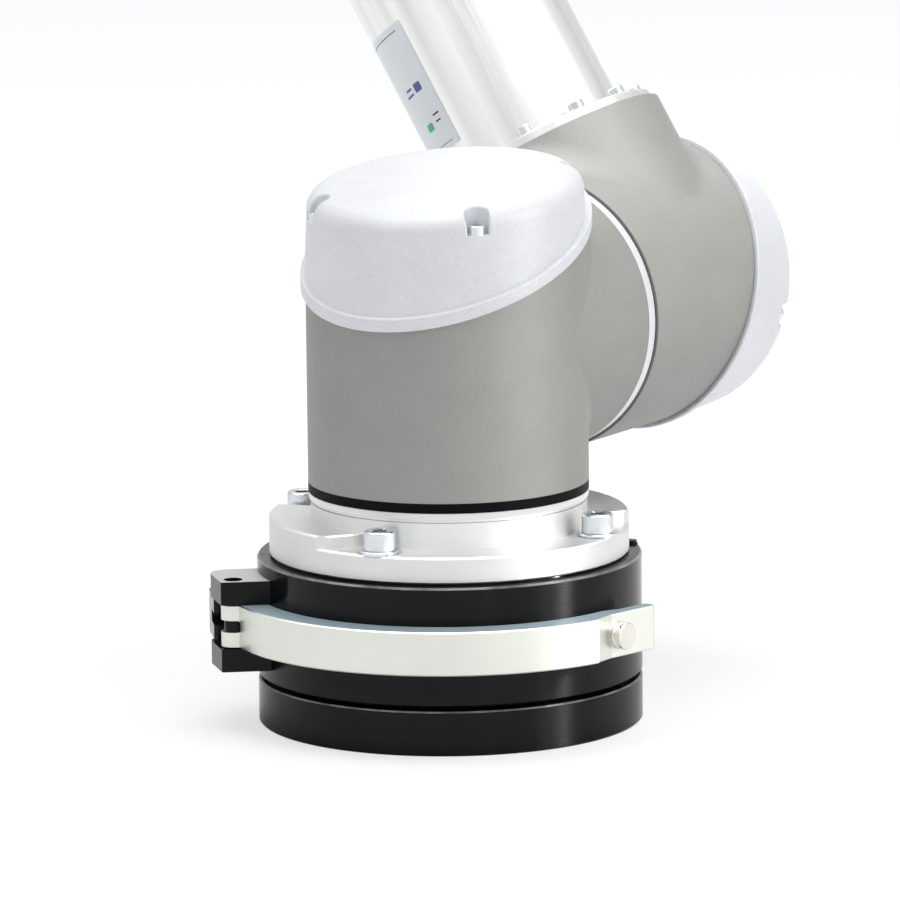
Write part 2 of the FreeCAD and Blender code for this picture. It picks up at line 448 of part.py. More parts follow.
# ---------------------------------------------------------------- joint modules
class Module:
    """A housing whose barrel, along local Z, holds a drive and ends in a slanted cover.

    The barrel's open face is at -face; a branch along local X ends at branch.
    """

    def __init__(self, name, origin, barrel, branch, radius, face, reach, branch_r, rim, blend):
        self.name = name
        self.place = frame(origin, barrel, branch)
        self.radius, self.face, self.reach = radius, face, reach
        self.branch_r, self.rim, self.blend = branch_r, rim, blend
        self.k = radius / LARGE["radius"]

    def rim_plane_cut(self, shape, offset, upper):
        """The part of a shape above, or below, the slanted rim plane."""
        block = box(-300, 300, -300, 300, 0, 600) if upper else box(-300, 300, -300, 300, -600, 0)
        block = block.rotated(O, Y, -RIM_TILT).translated(Vector(0, 0, self.rim + offset))
        return shape.common(block)

    def housing(self):
        k, r, b = self.k, self.radius, self.branch_r
        wall = HOUSING_WALL * k
        outer = cylinder(r, -self.face, self.rim + FAR * k).fuse(lying(b, 0, self.reach))
        outer = outer.removeSplitter()
        seam = edges_where(outer, lambda e: self.on_both(e, r, b))
        outer = outer.makeFillet(self.blend, seam)
        outer = self.rim_plane_cut(outer, 0, upper=False)
        lip = 9.0 * k
        hollow = cylinder(r - wall, -self.face + lip, self.rim + FAR * k)
        hollow = hollow.fuse([lying(b - wall, 0, self.reach - lip),
                              cylinder(r * 0.62, -self.face - 1, 0),
                              lying(b * 0.45, 0, self.reach + 1)])
        shell = outer.cut(hollow)
        bosses = []
        for a in SCREW_ANGLES:
            x, y = polar(SCREW_RING * k, a)
            low = self.rim + math.tan(math.radians(RIM_TILT)) * x - 20 * k
            boss = cylinder(4.6 * k, low, self.rim + FAR * k, x, y)
            bosses.append(self.rim_plane_cut(boss.common(cylinder(r - 1, -500, 500)), 0, False))
        shell = shell.fuse(bosses)
        shell = shell.cut([cylinder(SCREW_R * k + 0.06, self.screw_end(a), 500, *polar(SCREW_RING * k, a))
                           for a in SCREW_ANGLES])
        return shell.removeSplitter()

    def on_both(self, edge, r, b):
        first, last = edge.ParameterRange
        points = [edge.valueAt(first + (last - first) * i / 6) for i in range(7)]
        return all(abs(math.hypot(p.x, p.y) - r) < 0.05 and abs(math.hypot(p.y, p.z) - b) < 0.05
                   for p in points)

    def dome_top(self, x, y):
        """Height of the crown, a tilted sphere, over a point."""
        centre = self.crown_centre()
        big = CROWN_R * self.k
        return centre.z + math.sqrt(big * big - (x - centre.x) ** 2 - y * y)

    def crown_centre(self):
        t, big = math.radians(DOME_TILT), CROWN_R * self.k
        return Vector(math.sin(t) * big, 0, self.rim + CROWN * self.k - math.cos(t) * big)

    def crowned(self, inset):
        """A tapered drum under the tilted crown, shrunk by an inset."""
        k = self.k
        low, high = self.rim - 45 * k, self.rim + FAR * k
        drum = Part.makeCone(self.radius + COVER_DRAFT * 45 * k - inset,
                             self.radius - COVER_DRAFT * FAR * k - inset,
                             high - low, Vector(0, 0, low))
        solid = drum.common(Part.makeSphere(CROWN_R * k - inset, self.crown_centre(), Z, -90, 90, 360))
        top_edge = edges_where(solid, lambda e: e.BoundBox.ZMin > self.rim + 5 and e.Length > 100 * k)
        return solid.makeFillet(max(CROWN_FILLET * k - inset, 1.5), top_edge)

    def screw_seat(self, angle):
        x, y = polar(SCREW_RING * self.k, angle)
        return self.dome_top(x, y) - POCKET_DEPTH * self.k

    def screw_end(self, angle):
        x = polar(SCREW_RING * self.k, angle)[0]
        return self.rim + math.tan(math.radians(RIM_TILT)) * x - 14.0 * self.k

    def cover(self):
        k = self.k
        outer = self.rim_plane_cut(self.crowned(0), 0.3, upper=True)
        band = cylinder(LIP_R * k, self.rim - FAR * k, self.rim + FAR * k)
        band = self.rim_plane_cut(self.rim_plane_cut(band, 0.3, True), 6.0 * k, False)
        rim_edges = edges_where(band, lambda e: e.Length > 200 * k)
        band = band.makeFillet(0.7 * k, rim_edges)
        outer = outer.fuse(band).removeSplitter()
        shell = outer.cut(self.crowned(COVER_WALL * k))
        bosses = []
        for a in SCREW_ANGLES:
            boss = cylinder(7.0 * k, self.rim - FAR * k, self.screw_seat(a) + POCKET_DEPTH * k,
                            *polar((SCREW_RING - 1.2) * k, a))
            bosses.append(self.rim_plane_cut(boss.common(self.crowned(0.5)), 0.3, True))
        shell = shell.fuse(bosses)
        cuts = []
        for a in SCREW_ANGLES:
            x, y = polar(SCREW_RING * k, a)
            cuts.append(cylinder(SCREW_R * k + 0.06, self.rim - FAR * k, 500, x, y))
            cuts.append(cylinder(POCKET_R * k, self.screw_seat(a), self.screw_seat(a) + FAR * k, x, y))
        shell = shell.cut(cuts)
        return shell.makeFillet(POCKET_ROUND * k, edges_where(shell, self.is_pocket_edge))

    def is_pocket_edge(self, edge):
        """An edge on a screw pocket's wall, above its floor."""
        if edge.Length < 0.5:
            return False
        first, last = edge.ParameterRange
        points = [edge.valueAt(first + (last - first) * i / 6) for i in range(7)]
        for a in SCREW_ANGLES:
            x, y = polar(SCREW_RING * self.k, a)
            on_wall = all(abs(math.hypot(p.x - x, p.y - y) - POCKET_R * self.k) < 0.02 for p in points)
            if on_wall and max(p.z for p in points) > self.screw_seat(a) + 0.3:
                return True
        return False

    def cover_screws(self):
        k = self.k
        screws = []
        for a in SCREW_ANGLES:
            seat = self.screw_seat(a)
            screw = cap_screw(SCREW_HEAD_R * k, 3.8 * k, SCREW_R * k, seat - self.screw_end(a) - 0.3)
            screws.append(placed(screw.translated(Vector(*polar(SCREW_RING * k, a), seat)), self.place))
        return screws

    def drive(self):
        """Strain-wave gear, motor, brake and driver board, stacked along the barrel."""
        k, r = self.k, self.radius
        inside = r - HOUSING_WALL * k - 0.2
        z = -self.face + 9.2 * k
        shaft = 9.0 * k
        spline = ring(inside, r * 0.60, z, z + 15 * k)
        cup = ring(r * 0.598, r * 0.54, z - 8 * k, z + 17 * k).fuse(
            ring(r * 0.54, shaft + 0.3, z - 8 * k, z - 5 * k)).removeSplitter()
        wave = ring(r * 0.53, shaft + 0.25, z, z + 12 * k)
        stator = ring(r * 0.84, r * 0.5, z + 19 * k, z + 45 * k)
        rotor = ring(r * 0.49, shaft + 0.02, z + 20 * k, z + 44 * k)
        hollow_shaft = ring(shaft, shaft * 0.7, z - 4 * k, z + 62 * k)
        brake = ring(r * 0.62, shaft + 0.3, z + 47 * k, z + 57 * k)
        board = ring(r * 0.66, shaft + 2.0, z + 63 * k, z + 64.6 * k)
        return [placed(s, self.place) for s in
                (spline, cup, wave, stator, rotor, hollow_shaft, brake, board)]

    def at_face(self, shape):
        """A shape made at the origin, moved to the barrel's open face."""
        return placed(shape.translated(Vector(0, 0, -self.face)), self.place)


def lean(degrees):
    """Unit vector in the YZ plane, at an angle from +Z towards +Y."""
    a = math.radians(degrees)
    return Vector(0, math.sin(a), math.cos(a))


def make_link_tube(prefix, start, direction, length, radius, flange_r, count, screw):
    """Tube between two housings, with a flange and a circle of screws at each end."""
    place = frame(start, direction, X)
    inner = radius - TUBE_WALL
    keep(f"{prefix}_tube", placed(ring(radius, inner, 0, length), place))
    low = ring(flange_r, radius + 0.02, 0, TUBE_FLANGE_T)
    low = broken(low, 0.6, [(flange_r, TUBE_FLANGE_T)])
    high = low.mirror(Vector(0, 0, length / 2), Z)
    bolt_circle = (flange_r + radius) / 2 + 0.3
    angles = [360.0 / count * i for i in range(count)]
    holes = spread(cylinder(screw[2] + 0.05, -1, length + 1), bolt_circle, angles)
    keep(f"{prefix}_tube_flanges", [placed(s.cut(holes), place) for s in (low, high)])
    one = cap_screw(*screw).translated(Vector(0, 0, TUBE_FLANGE_T))
    screws = spread(one, bolt_circle, angles)
    screws += [s.mirror(Vector(0, 0, length / 2), Z) for s in screws]
    keep(f"{prefix}_tube_screws", [placed(s, place) for s in screws])
    return bolt_circle, angles


def drilled(module, bolt_circle, angles, turn, radius, depth):
    """Tapped holes in a branch's end face, for the tube's screws."""
    place = frame(Vector(module.reach, 0, 0), X * -1, module_x_local(module, turn))
    holes = [cylinder(radius, -1, depth, *polar(bolt_circle, a)) for a in angles]
    return [placed(h, module.place.multiply(place)) for h in holes]


def module_x_local(module, world_x):
    return module.place.Rotation.inverted().multVec(world_x)


def make_arm():
    upper_dir, forearm_dir = lean(UPPER_LEAN), lean(FOREARM_LEAN)
    shoulder_at = Vector(0, 0, SHOULDER_Z)
    upper_at = Vector(UPPER_X, 0, SHOULDER_Z)
    elbow_at = upper_at + upper_dir * UPPER_LEN
    forearm_at = Vector(FOREARM_X, elbow_at.y, elbow_at.z)
    wrist_1_at = forearm_at + forearm_dir * FOREARM_LEN
    wrist_2_at = Vector(WRIST_X, wrist_1_at.y, wrist_1_at.z)
    wrist_3_at = wrist_2_at - Y * WRIST_OFFSET
    modules = {
        "shoulder": Module("shoulder", shoulder_at, Z, X, **LARGE),
        "upper_arm": Module("upper_arm", upper_at, X, upper_dir, **ARM),
        "elbow": Module("elbow", elbow_at, X, upper_dir * -1, **ARM),
        "forearm": Module("forearm", forearm_at, X * -1, forearm_dir, **MEDIUM),
        "wrist_1": Module("wrist_1", wrist_1_at, X * -1, forearm_dir * -1, **SMALL),
        "wrist_2": Module("wrist_2", wrist_2_at, Y, X * -1, **SMALL),
        "wrist_3": Module("wrist_3", wrist_3_at, Z, Y, **SMALL),
    }
    screw_sets = {"shoulder": ["shoulder"], "upper_arm": ["upper_arm", "elbow"],
                  "forearm": ["forearm", "wrist_1"], "wrist_2": ["wrist_2"], "wrist_3": ["wrist_3"]}
    for module in modules.values():
        keep(f"{module.name}_cover", placed(module.cover(), module.place))
    for name, members in screw_sets.items():
        keep(f"{name}_cover_screws", [s for m in members for s in modules[m].cover_screws()])
    for name in ("shoulder", "upper_arm", "elbow", "wrist_1", "wrist_2", "wrist_3"):
        keep(f"{name}_drive", modules[name].drive())

    # link tubes, and the housings with the holes for their screws
    bores = {name: [] for name in modules}
    upper, forearm, wrist = modules["upper_arm"], modules["forearm"], modules["wrist_1"]
    circle = make_link_tube("upper_arm", upper_at + upper_dir * upper.reach, upper_dir,
                            UPPER_LEN - 2 * upper.reach, TUBE_R, TUBE_FLANGE_R, 12,
                            (3.5, 4.0, 2.0, 10.0))
    for name in ("upper_arm", "elbow"):
        bores[name] = drilled(modules[name], *circle, X, 2.05, 7.0)
    circle = make_link_tube("forearm", forearm_at + forearm_dir * forearm.reach, forearm_dir,
                            FOREARM_LEN - forearm.reach - wrist.reach, FOREARM_TUBE_R,
                            FOREARM_FLANGE_R, 8, (2.75, 3.0, 1.5, 8.0))
    for name in ("forearm", "wrist_1"):
        bores[name] = drilled(modules[name], *circle, X, 1.55, 5.0)
    for name, module in modules.items():
        body = placed(module.housing(), module.place)
        keep(f"{name}_housing", body.cut(bores[name]) if bores[name] else body)

    # trim rings on the driven side of each joint, seals on the other
    seal = ring(LARGE["radius"], 45.0, -4.0, -0.02)
    keep("base_seal", modules["shoulder"].at_face(seal))
    trim = ring(RING_R, RING_BORE_R, 0, RING_W).translated(Vector(0, 0, LARGE["reach"]))
    across = Placement(shoulder_at, Rotation(Y, 90))
    keep("shoulder_trim_ring", placed(trim, across))
    thin_seal = ring(SEAL_R, RING_BORE_R, -SEAL_W + 0.25, -0.02)
    keep("upper_arm_seal", modules["upper_arm"].at_face(thin_seal))
    keep("elbow_seal", modules["elbow"].at_face(thin_seal))
    keep("forearm_trim_ring", modules["forearm"].at_face(ring(53.0, 40.0, -RING_W, -0.02)))
    small_trim = ring(SMALL_RING_R, SMALL_BORE_R, -SMALL_RING_W - SMALL_SEAL_W, -SMALL_SEAL_W)
    small_seal = ring(SMALL_SEAL_R, SMALL_BORE_R, -SMALL_SEAL_W + 0.25, -0.02)
    for name, trim_name in (("wrist_1", "wrist_2_trim_ring"), ("wrist_2", "wrist_3_trim_ring")):
        keep(trim_name, modules[name].at_face(small_trim))
        keep(f"{name}_seal", modules[name].at_face(small_seal))
    make_tool_flange(modules["wrist_3"], small_seal)


def make_tool_flange(module, seal):
    """Tool flange with a 50 mm bolt circle, centring bore and dowel hole."""
    top, bottom = -SMALL_SEAL_W, -14.0
    flange = turned([(TOOL_BORE_R, bottom), (30.9, bottom), (31.5, bottom + 0.6), (31.5, bottom + 8),
                     (SMALL_RING_R, bottom + 8), (SMALL_RING_R, top), (8.0, top), (8.0, bottom + 6),
                     (TOOL_BORE_R, bottom + 6)])
    tapped = cylinder(TOOL_TAP_R, bottom - 1, bottom + 9.0)
    dowel = cylinder(TOOL_DOWEL_R, bottom - 1, bottom + 7.0)
    holes = spread(tapped, TOOL_BOLT_CIRCLE_R, [45, 135, 225, 315])
    holes += spread(dowel, TOOL_BOLT_CIRCLE_R, [0])
    keep("tool_flange", module.at_face(flange.cut(holes)))
    keep("wrist_3_seal", module.at_face(seal))


make_plates()
make_collar()
make_lever()
make_flange()
make_arm()
for name, shape in sorted(nodes.items()):
    if not shape.isValid():
        print("not valid:", name)
print(len(nodes), "nodes,", sum(len(s.Solids) for s in nodes.values()), "solids")
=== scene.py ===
import json
import math

import bmesh
import bpy
from mathutils import Matrix, Vector


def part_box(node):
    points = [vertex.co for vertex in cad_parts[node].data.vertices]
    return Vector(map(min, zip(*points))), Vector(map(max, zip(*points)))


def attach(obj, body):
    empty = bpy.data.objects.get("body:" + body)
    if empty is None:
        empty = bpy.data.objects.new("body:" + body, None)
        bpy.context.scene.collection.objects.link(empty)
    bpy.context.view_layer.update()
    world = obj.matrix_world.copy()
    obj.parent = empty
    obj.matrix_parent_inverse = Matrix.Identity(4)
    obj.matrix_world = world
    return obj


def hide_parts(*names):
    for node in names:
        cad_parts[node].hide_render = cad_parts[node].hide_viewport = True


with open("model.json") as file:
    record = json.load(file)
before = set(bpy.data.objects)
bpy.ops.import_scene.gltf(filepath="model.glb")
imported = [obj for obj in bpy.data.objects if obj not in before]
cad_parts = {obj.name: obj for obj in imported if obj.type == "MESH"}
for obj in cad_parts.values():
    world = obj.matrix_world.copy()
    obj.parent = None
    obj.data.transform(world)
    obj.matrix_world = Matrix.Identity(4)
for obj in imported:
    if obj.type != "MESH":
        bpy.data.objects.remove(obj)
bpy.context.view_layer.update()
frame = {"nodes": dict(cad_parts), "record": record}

# The looks of a collaborative robot arm on a quick-release base clamp.
# Metres, in the CAD model's frame.  Light places are given in the view's own frame:
# X to the right of the picture, Y away from the camera, Z up, from the foot of the object.

MM = 0.001
NODES = frame["nodes"]
SCENE = bpy.context.scene

# ---------------------------------------------------------------- view and room
CAMERA_AT = Vector((-2.6652, -1.6412, 0.6810))
CAMERA_HEADING, CAMERA_PITCH, CAMERA_ROLL = -58.389, -10.296, -0.628
LENS, SENSOR = 306.8, 36.0
VIEW_TURN = Matrix.Rotation(math.radians(-58.379), 4, "Z")

ROOM_WHITE, ROOM_DARK, ROOM_TOP = 0.95, 0.10, 1.10    # radiance behind, before and above
FRONT_GLOSS, ZENITH_GLOSS = 0.95, 3.1     # what glossy paint and metal mirror, before and above
ROOM_BACK = Vector((0.25, 1, 0)).normalized()
BACK_FADE = (0.10, 0.55)                  # share of the direction along ROOM_BACK
TOP_FADE, ZENITH_FADE = (0.35, 0.80), (0.35, 0.90)    # upward share of the direction
BACKDROP = 1.1                            # what the camera sees beyond the floor
FLOOR_SIZE = 60.0
FLOOR_WHITE, FLOOR_SEEN, FLOOR_GLOW = 0.85, 0.40, 0.63

# name, place, size in metres and power in watts
SOFTBOXES = [("overhead", (0.1, 0.2, 2.4), (1.8, 1.8), 36.0),
             ("right_fill", (1.9, -1.0, 1.1), (0.9, 1.4), 11.0),
             ("left_fill", (-1.7, -1.5, 1.5), (0.9, 1.2), 7.0),
             ("arm_fill", (0.5, -1.0, 2.2), (1.2, 1.2), 20.0)]
# narrow lights that only reflections show: as above, with the height that they aim at
STRIPS = [("right_strip", (1.42, -0.49, 0.5), (0.30, 1.1), 9.0, 0.1),
          ("middle_strip", (1.24, -0.85, 0.5), (0.12, 1.1), 2.0, 0.1),
          ("front_strip", (0.62, -1.5, 0.5), (0.16, 1.1), 1.0, 0.1),
          ("low_streak", (1.42, -0.49, 0.5), (0.06, 1.1), 3.0, 0.1),
          ("streak", (0.531, -0.188, 0.36), (0.022, 0.30), 66.0, 0.06)]
STRIP_TINT = (1.0, 0.98, 0.93)
CLAMP_RINGS = ("collar_front_half", "collar_rear_half", "table_plate")
LIT_ALONE = {"arm_fill": ("upper_arm_housing", "elbow_housing", "forearm_housing"),
             "low_streak": CLAMP_RINGS, "streak": CLAMP_RINGS}

# ---------------------------------------------------------------- the object's own axes
Z_AXIS = Vector((0, 0, 1))
LEAN = math.radians(31.6)
UPPER_AT = Vector((133.5 * MM, 0, 160.05 * MM))
UPPER_AXIS = Vector((0, math.sin(LEAN), math.cos(LEAN)))
FOREARM_AXIS = Vector((0, math.sin(math.radians(-70)), math.cos(math.radians(-70))))
TUBE_R = 41.6 * MM

LABEL_ALONG = (83.0 * MM, 141.5 * MM)     # along the tube, from the second joint's axis
LABEL_AROUND = (113.0, 171.5)             # degrees round the tube, from +X
LABEL_CORNER = 1.0 * MM
LABEL_THICK = 0.12 * MM
LABEL_LIFT, MARK_LIFT, MARK_THICK = 0.02 * MM, 0.02 * MM, 0.03 * MM
MARK_CORNER = 0.8 * MM
# ink, then millimetres from the label's lower end, then degrees round the tube
LABEL_MARKS = [("dark", 55.3, 55.7, 122, 165),
               ("blue", 28.0, 32.0, 156, 163),
               ("blue", 28.0, 29.0, 144, 153),
               ("blue", 30.6, 31.6, 146, 153),
               ("green", 10.5, 14.0, 149, 156),
               ("dark", 15.5, 16.3, 160, 166),
               ("dark", 12.5, 13.2, 160, 165),
               ("dark", 2.4, 2.7, 124, 166)]

# a height above the hinge block and below the collar's rim, and the band under it
BLOCK_TOP, BLOCK_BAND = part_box("collar_front_half")[1].z - 5 * MM, 2 * MM

SCREW_TEETH = 60
SCREW_HEAD_R, SCREW_HEAD_H, KNURL = 6.5 * MM, 8.0 * MM, 0.16 * MM
SCREW_SHANK_R, SCREW_CHAMFER = 4.0 * MM, 0.7 * MM
SOCKET_R, SOCKET_DEPTH, SOCKET_TIP = 0.53 * SCREW_HEAD_R, 4.6 * MM, 0.9 * MM


# ---------------------------------------------------------------- node trees
class Shader:
    """A material with one Principled shader, and short ways to feed it."""

    def __init__(self, name, **sockets):
        self.material = bpy.data.materials.new(name)
        self.material.use_nodes = True
        self.tree = self.material.node_tree
        self.surface = self.tree.nodes["Principled BSDF"]
        for socket, value in sockets.items():
            self.surface.inputs[socket.replace("_", " ")].default_value = value
        self.place = self.add("ShaderNodeTexCoord").outputs["Object"]

    def add(self, kind, inputs=(), **settings):
        """A new node. inputs are (socket, value or output) pairs."""
        node = self.tree.nodes.new(kind)
        for key, value in settings.items():
            setattr(node, key, value)
        for socket, value in inputs:
            if isinstance(value, bpy.types.NodeSocket):
                self.tree.links.new(value, node.inputs[socket])
            else:
                node.inputs[socket].default_value = value
        return node

    def feed(self, socket, output):
        self.tree.links.new(output, self.surface.inputs[socket])

    def noise(self, scale, where=None, detail=2.0, roughness=0.5):
        node = self.add("ShaderNodeTexNoise", [("Vector", where or self.place), ("Scale", scale),
                                               ("Detail", detail), ("Roughness", roughness)])
        return node.outputs["Fac"]

    def ramp(self, value, low, high, to_low=0.0, to_high=1.0):
        node = self.add("ShaderNodeMapRange", [("Value", value), ("From Min", low),
                                               ("From Max", high), ("To Min", to_low),
                                               ("To Max", to_high)])
        return node.outputs["Result"]

    def maths(self, operation, a, b=0.0):
        node = self.add("ShaderNodeMath", [(0, a), (1, b)], operation=operation)
        return node.outputs["Value"]

    def vector(self, operation, a, b, out="Vector"):
        node = self.add("ShaderNodeVectorMath", [(0, a), (1, b)], operation=operation)
        return node.outputs[out]

    def scaled(self, vector, factor):
        node = self.add("ShaderNodeVectorMath", [(0, vector), ("Scale", factor)],
                        operation="SCALE")
        return node.outputs["Vector"]

    def mix(self, factor, a, b):
        """A colour between a and b."""
        node = self.add("ShaderNodeMix", [(0, factor), (6, a), (7, b)], data_type="RGBA")
        return node.outputs[2]

    def bump(self, height, depth, strength=1.0):
        """Feeds the normal with a height from 0 to 1, depth metres deep."""
        node = self.add("ShaderNodeBump", [("Height", height), ("Distance", depth),
                                           ("Strength", strength)])
        self.feed("Normal", node.outputs["Normal"])

    def round_axis(self, centre, axis):
        """(distance from the axis, height along it) of each point."""
        off = self.vector("SUBTRACT", self.place, centre)
        height = self.vector("DOT_PRODUCT", off, axis, "Value")
        radius = self.add("ShaderNodeVectorMath", [(0, self.vector("CROSS_PRODUCT", off, axis))],
                          operation="LENGTH").outputs["Value"]
        return radius, height

    def facing_up(self, low, high):
        """1 where the surface's upward share of its normal passes high, 0 below low."""
        normal = self.add("ShaderNodeNewGeometry").outputs["True Normal"]
        return self.ramp(self.vector("DOT_PRODUCT", normal, Z_AXIS, "Value"), low, high)

    def drawn_along(self, axis, stretch):
        """Coordinates squeezed along an axis, so that a noise becomes lines along it."""
        along = self.scaled(axis, self.vector("DOT_PRODUCT", self.place, axis, "Value"))
        return self.vector("SUBTRACT", self.place, self.scaled(along, stretch))


def rgba(r, g, b):
    return (r, g, b, 1.0)


def speckled_paint(name, dark, light, grain, depth, flake=0.0, **sockets):
    """Powder paint, or metallic paint where flake is above 0, over an orange-peel bump."""
    s = Shader(name, **sockets)
    fine = s.noise(1.0 / grain, detail=3.0, roughness=0.7)
    cloud = s.noise(60.0, detail=2.0)
    tone = s.maths("ADD", s.ramp(fine, 0.36, 0.64, 0.0, 0.8), s.ramp(cloud, 0.3, 0.7, 0.0, 0.2))
    colour = s.mix(tone, dark, light)
    if flake:
        cells = s.add("ShaderNodeTexVoronoi", [("Vector", s.place), ("Scale", 0.9 / grain)])
        spark = s.add("ShaderNodeSeparateColor", [("Color", cells.outputs["Color"])])
        bright = s.ramp(spark.outputs["Red"], 0.90, 0.98, 0.0, flake)
        colour = s.mix(bright, colour, rgba(1.0, 1.0, 1.0))
        rough = s.ramp(spark.outputs["Green"], 0.0, 1.0, 0.40, 0.62)
    else:
        rough = s.ramp(fine, 0.3, 0.7, 0.54, 0.68)
    s.feed("Base Color", colour)
    s.feed("Roughness", rough)
    peel = s.maths("ADD", fine, s.maths("MULTIPLY", s.noise(420.0, detail=1.0), 1.5))
    s.bump(peel, depth)
    return s.material


def turned(name, centre, axis, dark, light, groove, depth, rough, shape=None, **sockets):
    """Metal from a lathe: fine rings about an axis, on flat faces and round sides alike."""
    s = Shader(name, **sockets)
    radius, height = s.round_axis(centre, axis)
    where = s.add("ShaderNodeCombineXYZ", [("X", radius), ("Y", height)]).outputs["Vector"]
    rings = s.noise(1.0 / groove, where, detail=4.0, roughness=0.65)
    stain = s.noise(28.0, detail=3.0)
    tone = s.maths("ADD", s.maths("MULTIPLY", rings, 0.6), s.maths("MULTIPLY", stain, 0.4))
    colour = s.mix(s.ramp(tone, 0.35, 0.65), dark, light)
    roughness = s.ramp(tone, 0.3, 0.7, rough[0], rough[1])
    if shape:
        colour, roughness = shape(s, colour, roughness)
    s.feed("Base Color", colour)
    s.feed("Roughness", roughness)
    s.bump(rings, depth)
    return s.material


def painted_edge_and_top_highlights(s, colour, roughness):
    """Painted highlights on black parts: upward chamfers painted paler in patchy dashes, and a
    duller milled top below the collar's rim painted pale grey as a painted sheen.
    """
    up = s.facing_up(0.35, 0.55)
    flat = s.facing_up(0.90, 0.97)
    chamfer = s.maths("MULTIPLY", up, s.maths("SUBTRACT", 1.0, flat))
    # painted highlight: upward chamfers painted pale grey in patchy dashes, where they catch the
    # light from above
    highlight_dashes = s.ramp(s.noise(90.0, detail=3.0), 0.35, 0.60, 0.35, 1.0)
    colour = s.mix(s.maths("MULTIPLY", chamfer, highlight_dashes), colour, rgba(0.30, 0.30, 0.31))
    height = s.add("ShaderNodeSeparateXYZ", [(0, s.place)]).outputs["Z"]
    # painted sheen: the hinge block's milled top is painted pale grey for the light it catches
    # from above; its added roughness is real
    milled_top_sheen = s.maths("MULTIPLY", flat, s.maths("LESS_THAN", height, BLOCK_TOP))
    milled_top_sheen = s.maths("MULTIPLY", milled_top_sheen, s.maths("GREATER_THAN", height, BLOCK_TOP - BLOCK_BAND))
    colour = s.mix(milled_top_sheen, colour, rgba(0.52, 0.52, 0.53))
    return colour, s.maths("ADD", roughness, s.maths("MULTIPLY", milled_top_sheen, 0.25))


def painted_sky_reflection_top(s, colour, roughness):
    """The lever's flat upper sides are matt and painted blue-grey as a painted reflection of the
    room above, unlike its satin band.
    """
    flat = s.facing_up(0.90, 0.97)
    s.feed("Metallic", s.ramp(flat, 0.0, 1.0, 1.0, 0.35))
    # painted reflection: the lever's upward faces painted blue-grey
    return s.mix(flat, colour, rgba(0.29, 0.38, 0.43)), s.ramp(flat, 0.0, 1.0, 0.34, 0.55)


def drawn(name, axis, dark, light, line, band, depth, rough, **sockets):
    """Extruded metal: soft bands and fine lines along an axis."""
    s = Shader(name, **sockets)
    lines = s.noise(1.0 / line, s.drawn_along(axis, 0.985), detail=3.0)
    bands = s.noise(1.0 / band, s.drawn_along(axis, 0.985), detail=1.0)
    tone = s.maths("ADD", s.maths("MULTIPLY", lines, 0.15), s.maths("MULTIPLY", bands, 0.85))
    s.feed("Base Color", s.mix(s.ramp(tone, 0.35, 0.65), dark, light))
    s.feed("Roughness", s.ramp(lines, 0.3, 0.7, rough[0], rough[1]))
    s.bump(lines, depth)
    return s.material


def grained(name, dark, light, grain, depth, rough, **sockets):
    """A plain surface with a fine grain and faint blotches."""
    s = Shader(name, **sockets)
    fine = s.noise(1.0 / grain, detail=4.0, roughness=0.6)
    blotch = s.noise(45.0, detail=3.0)
    tone = s.maths("ADD", s.maths("MULTIPLY", fine, 0.5), s.maths("MULTIPLY", blotch, 0.5))
    s.feed("Base Color", s.mix(s.ramp(tone, 0.38, 0.62), dark, light))
    s.feed("Roughness", s.ramp(tone, 0.35, 0.65, rough[0], rough[1]))
    s.bump(fine, depth)
    return s.material


def upright_streaks(material):
    """Stretches reflections up and down on a turned wall that stands upright."""
    tree = material.node_tree
    tangent = tree.nodes.new("ShaderNodeTangent")
    tangent.direction_type, tangent.axis = "RADIAL", "Z"
    surface = tree.nodes["Principled BSDF"]
    tree.links.new(tangent.outputs["Tangent"], surface.inputs["Tangent"])
    surface.inputs["Anisotropic Rotation"].default_value = 0.25
    return material


def rubber(name, rough, specular):
    return grained(name, rgba(0.0025, 0.003, 0.0035), rgba(0.005, 0.0055, 0.0065),
                   grain=0.35 * MM, depth=0.03 * MM, rough=rough, Metallic=0.0,
                   Specular_IOR_Level=specular)


